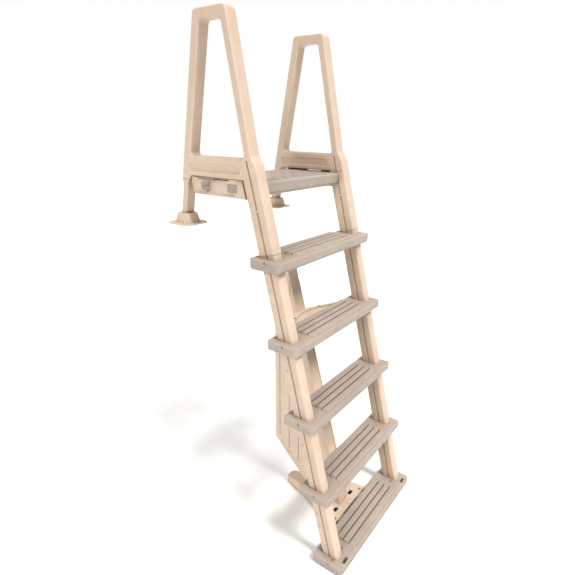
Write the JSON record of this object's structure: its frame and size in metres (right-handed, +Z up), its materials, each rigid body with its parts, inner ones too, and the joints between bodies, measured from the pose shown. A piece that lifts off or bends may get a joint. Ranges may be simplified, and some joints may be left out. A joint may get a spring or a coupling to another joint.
{
  "type": "pool ladder",
  "caption": "A-frame pool ladder with grab-loop handrails, landing platform, moulded treads and a swim barrier, hung on adjustable deck legs.",
  "frame": {"origin": "centre of the bounding box at the pool floor, under the bottom tread and the barrier's foot", "axes": "+X across the ladder to the swimmer's left-hand side seen from the deck, +Y from the pool towards the deck, +Z up"},
  "size_m": [0.622, 0.8092, 1.902],
  "materials": {
    "cream_plastic": "fine moulded grain, satin",
    "taupe_plastic": "fine moulded grain, satin",
    "screw_steel": "dulled stainless"
  },
  "bodies": {
    "deck_legs": {"left_deck_post": "cream_plastic", "right_deck_post": "cream_plastic", "left_deck_flange": "cream_plastic", "right_deck_flange": "cream_plastic", "flange_screws": "screw_steel"},
    "handrail_frame": {"left_handrail": "cream_plastic", "right_handrail": "cream_plastic", "left_side_bracket": "cream_plastic", "right_side_bracket": "cream_plastic", "platform": "taupe_plastic", "bracket_rivets": "cream_plastic"},
    "lower_ladder": {"left_rail": "cream_plastic", "right_rail": "cream_plastic", "tread_1": "taupe_plastic", "tread_2": "taupe_plastic", "tread_3": "taupe_plastic", "tread_4": "taupe_plastic", "tread_5": "taupe_plastic", "tread_end_screws": "screw_steel", "bottom_tread_screws": "screw_steel", "barrier_fin": "cream_plastic", "barrier_gusset": "cream_plastic", "barrier_base": "cream_plastic", "gusset_screws": "screw_steel", "base_screws": "screw_steel"},
    "left_front_latch": {"left_front_latch": "taupe_plastic"},
    "left_rear_latch": {"left_rear_latch": "taupe_plastic"},
    "right_front_latch": {"right_front_latch": "taupe_plastic"},
    "right_rear_latch": {"right_rear_latch": "taupe_plastic"}
  },
  "joints": [
    {"name": "deck_leg_slide", "type": "slide", "parent": "deck_legs", "child": "handrail_frame", "axis": [0, -0.1961, 0.9806], "range_m": [-0.05, 0.09]},
    {"name": "ladder_height_slide", "type": "slide", "parent": "handrail_frame", "child": "lower_ladder", "axis": [0, 0.249, 0.9685], "range_m": [-0.1, 0]},
    {"name": "left_front_latch_press", "type": "slide", "parent": "handrail_frame", "child": "left_front_latch", "axis": [1, 0, 0], "range_m": [0, 0.006], "stiffness_N_per_m": 400},
    {"name": "left_rear_latch_press", "type": "slide", "parent": "handrail_frame", "child": "left_rear_latch", "axis": [1, 0, 0], "range_m": [0, 0.006], "stiffness_N_per_m": 400},
    {"name": "right_front_latch_press", "type": "slide", "parent": "handrail_frame", "child": "right_front_latch", "axis": [-1, 0, 0], "range_m": [0, 0.006], "stiffness_N_per_m": 400},
    {"name": "right_rear_latch_press", "type": "slide", "parent": "handrail_frame", "child": "right_rear_latch", "axis": [-1, 0, 0], "range_m": [0, 0.006], "stiffness_N_per_m": 400}
  ]
}
